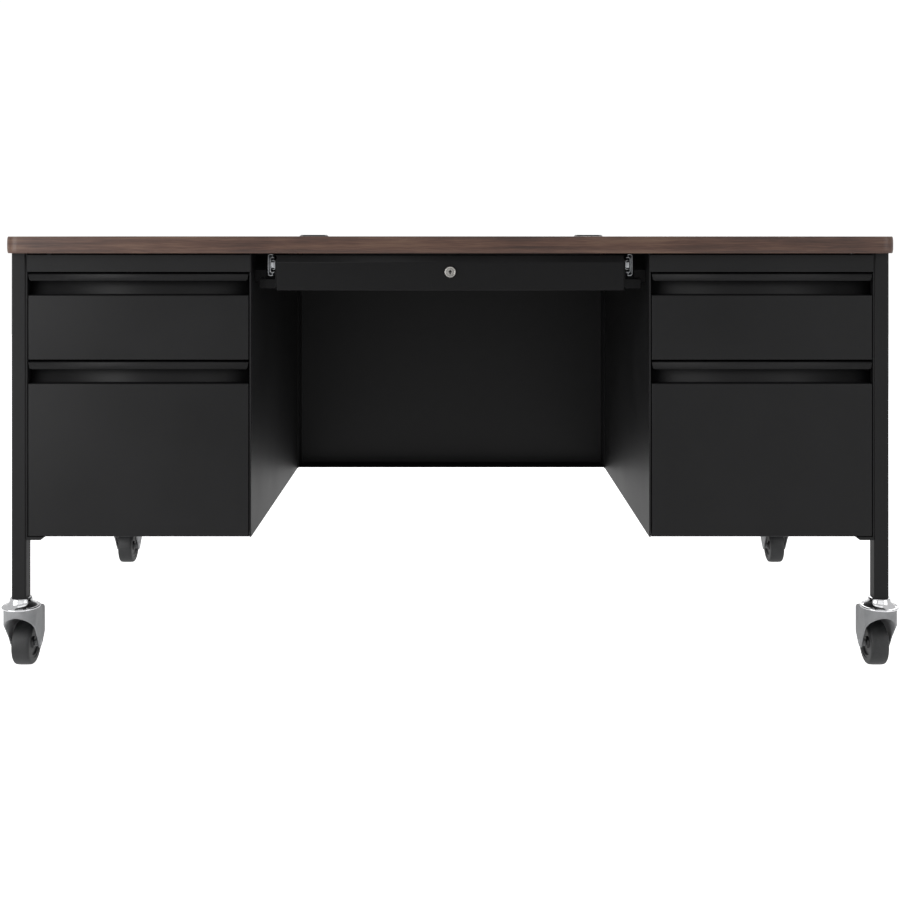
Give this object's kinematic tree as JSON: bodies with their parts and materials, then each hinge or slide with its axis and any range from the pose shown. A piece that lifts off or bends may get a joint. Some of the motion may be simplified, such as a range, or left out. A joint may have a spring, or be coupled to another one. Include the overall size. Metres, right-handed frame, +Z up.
{
  "type": "teacher desk",
  "caption": "Mobile double-pedestal teacher's desk with walnut worktop, black steel drawers with recessed pulls, a locking centre drawer and hooded swivel casters",
  "frame": {"origin": "on the floor under the middle of the desk's bounding box", "axes": "+X to the right of a person facing the drawers, +Y to the rear, +Z up"},
  "size_m": [1.552, 0.7898, 0.7526],
  "materials": {
    "walnut_laminate": "high-pressure laminate, printed walnut grain, fine satin texture",
    "edge_band": "extruded vinyl T-mould edge, walnut colour, satin",
    "particleboard": "pressed particleboard",
    "black_powder_coat": "black powder coat, fine texture, satin",
    "zinc_steel": "zinc-plated cold rolled steel",
    "chrome": "bright chrome plate",
    "nickel": "satin nickel plate",
    "grey_plastic": "moulded grey nylon, fine spark texture",
    "hub_plastic": "moulded dark grey nylon",
    "rubber_tyre": "moulded dark grey rubber tread",
    "black_plastic": "moulded black plastic"
  },
  "bodies": {
    "root": {"worktop_core": "particleboard", "worktop_laminates": "walnut_laminate", "worktop_edge_band": "edge_band", "worktop_screws": "zinc_steel", "grommet_liners": "black_plastic", "legs": "black_powder_coat", "leg_plugs": "black_plastic", "caster_stems": "zinc_steel", "caster_rings": "chrome", "gussets": "black_powder_coat", "pedestal_inner_sides": "black_powder_coat", "pedestal_outer_sides": "black_powder_coat", "pedestal_backs": "black_powder_coat", "pedestal_bottoms": "black_powder_coat", "pedestal_headers": "black_powder_coat", "modesty_panel": "black_powder_coat", "slide_outers": "zinc_steel", "centre_brackets": "black_powder_coat", "lock_strike": "zinc_steel"},
    "grommet_cap_left": {"grommet_cap_left": "black_plastic"},
    "box_drawer_left": {"box_drawer_front_left": "black_powder_coat", "box_drawer_pan_left": "black_powder_coat", "box_slide_inners_left": "zinc_steel"},
    "box_slide_left": {"box_slide_middles_left": "zinc_steel"},
    "file_drawer_left": {"file_drawer_front_left": "black_powder_coat", "file_drawer_pan_left": "black_powder_coat", "file_slide_inners_left": "zinc_steel", "file_hang_rails_left": "zinc_steel"},
    "file_slide_left": {"file_slide_middles_left": "zinc_steel"},
    "grommet_cap_right": {"grommet_cap_right": "black_plastic"},
    "box_drawer_right": {"box_drawer_front_right": "black_powder_coat", "box_drawer_pan_right": "black_powder_coat", "box_slide_inners_right": "zinc_steel"},
    "box_slide_right": {"box_slide_middles_right": "zinc_steel"},
    "file_drawer_right": {"file_drawer_front_right": "black_powder_coat", "file_drawer_pan_right": "black_powder_coat", "file_slide_inners_right": "zinc_steel", "file_hang_rails_right": "zinc_steel"},
    "file_slide_right": {"file_slide_middles_right": "zinc_steel"},
    "centre_drawer": {"centre_drawer_front": "black_powder_coat", "centre_drawer_pan": "black_powder_coat", "centre_slide_inners": "zinc_steel", "pencil_tray": "black_plastic", "gang_arms": "black_powder_coat", "lock_body": "nickel"},
    "centre_slide": {"centre_slide_middles": "zinc_steel"},
    "lock_plug": {"lock_plug": "nickel"},
    "lock_bolt": {"lock_bolt": "zinc_steel"},
    "caster_front_left": {"caster_hood_front_left": "grey_plastic"},
    "wheel_front_left": {"caster_tyre_front_left": "rubber_tyre", "caster_hub_front_left": "hub_plastic"},
    "caster_rear_left": {"caster_hood_rear_left": "grey_plastic"},
    "wheel_rear_left": {"caster_tyre_rear_left": "rubber_tyre", "caster_hub_rear_left": "hub_plastic"},
    "caster_front_right": {"caster_hood_front_right": "grey_plastic"},
    "wheel_front_right": {"caster_tyre_front_right": "rubber_tyre", "caster_hub_front_right": "hub_plastic"},
    "caster_rear_right": {"caster_hood_rear_right": "grey_plastic"},
    "wheel_rear_right": {"caster_tyre_rear_right": "rubber_tyre", "caster_hub_rear_right": "hub_plastic"}
  },
  "joints": [
    {"name": "grommet_cap_left_lift", "type": "slide", "parent": "root", "child": "grommet_cap_left", "axis": [0, 0, 1], "range_m": [0, 0.03]},
    {"name": "box_drawer_left_slide", "type": "slide", "parent": "root", "child": "box_drawer_left", "axis": [0, -1, 0], "range_m": [0, 0.56]},
    {"name": "box_slide_left_half", "type": "slide", "parent": "root", "child": "box_slide_left", "axis": [0, -1, 0], "range_m": [0, 0.28]},
    {"name": "file_drawer_left_slide", "type": "slide", "parent": "root", "child": "file_drawer_left", "axis": [0, -1, 0], "range_m": [0, 0.56]},
    {"name": "file_slide_left_half", "type": "slide", "parent": "root", "child": "file_slide_left", "axis": [0, -1, 0], "range_m": [0, 0.28]},
    {"name": "grommet_cap_right_lift", "type": "slide", "parent": "root", "child": "grommet_cap_right", "axis": [0, 0, 1], "range_m": [0, 0.03]},
    {"name": "box_drawer_right_slide", "type": "slide", "parent": "root", "child": "box_drawer_right", "axis": [0, -1, 0], "range_m": [0, 0.56]},
    {"name": "box_slide_right_half", "type": "slide", "parent": "root", "child": "box_slide_right", "axis": [0, -1, 0], "range_m": [0, 0.28]},
    {"name": "file_drawer_right_slide", "type": "slide", "parent": "root", "child": "file_drawer_right", "axis": [0, -1, 0], "range_m": [0, 0.56]},
    {"name": "file_slide_right_half", "type": "slide", "parent": "root", "child": "file_slide_right", "axis": [0, -1, 0], "range_m": [0, 0.28]},
    {"name": "centre_drawer_slide", "type": "slide", "parent": "root", "child": "centre_drawer", "axis": [0, -1, 0], "range_m": [0, 0.36]},
    {"name": "centre_slide_half", "type": "slide", "parent": "root", "child": "centre_slide", "axis": [0, -1, 0], "range_m": [0, 0.18]},
    {"name": "lock_plug_turn", "type": "hinge", "parent": "centre_drawer", "child": "lock_plug", "pos_m": [0, -0.3695, 0.6883], "axis": [0, 1, 0], "range_deg": [0, 90]},
    {"name": "lock_bolt_rise", "type": "slide", "parent": "centre_drawer", "child": "lock_bolt", "axis": [0, 0, 1], "range_m": [0, 0.006]},
    {"name": "swivel_front_left", "type": "hinge", "parent": "root", "child": "caster_front_left", "pos_m": [-0.7435, -0.3572, 0.1], "axis": [0, 0, 1], "continuous": true},
    {"name": "roll_front_left", "type": "hinge", "parent": "caster_front_left", "child": "wheel_front_left", "pos_m": [-0.7435, -0.3292, 0.0375], "axis": [1, 0, 0], "continuous": true},
    {"name": "swivel_rear_left", "type": "hinge", "parent": "root", "child": "caster_rear_left", "pos_m": [-0.7435, 0.3294, 0.1], "axis": [0, 0, 1], "continuous": true},
    {"name": "roll_rear_left", "type": "hinge", "parent": "caster_rear_left", "child": "wheel_rear_left", "pos_m": [-0.7435, 0.3574, 0.0375], "axis": [1, 0, 0], "continuous": true},
    {"name": "swivel_front_right", "type": "hinge", "parent": "root", "child": "caster_front_right", "pos_m": [0.7435, -0.3572, 0.1], "axis": [0, 0, 1], "continuous": true},
    {"name": "roll_front_right", "type": "hinge", "parent": "caster_front_right", "child": "wheel_front_right", "pos_m": [0.7435, -0.3292, 0.0375], "axis": [1, 0, 0], "continuous": true},
    {"name": "swivel_rear_right", "type": "hinge", "parent": "root", "child": "caster_rear_right", "pos_m": [0.7435, 0.3294, 0.1], "axis": [0, 0, 1], "continuous": true},
    {"name": "roll_rear_right", "type": "hinge", "parent": "caster_rear_right", "child": "wheel_rear_right", "pos_m": [0.7435, 0.3574, 0.0375], "axis": [1, 0, 0], "continuous": true}
  ],
  "couplings": [
    {"joint": "box_slide_left_half", "follows": "box_drawer_left_slide", "ratio": 0.5},
    {"joint": "file_slide_left_half", "follows": "file_drawer_left_slide", "ratio": 0.5},
    {"joint": "box_slide_right_half", "follows": "box_drawer_right_slide", "ratio": 0.5},
    {"joint": "file_slide_right_half", "follows": "file_drawer_right_slide", "ratio": 0.5},
    {"joint": "centre_slide_half", "follows": "centre_drawer_slide", "ratio": 0.5},
    {"joint": "lock_bolt_rise", "follows": "lock_plug_turn", "m_per_rad": 0.0038197}
  ]
}
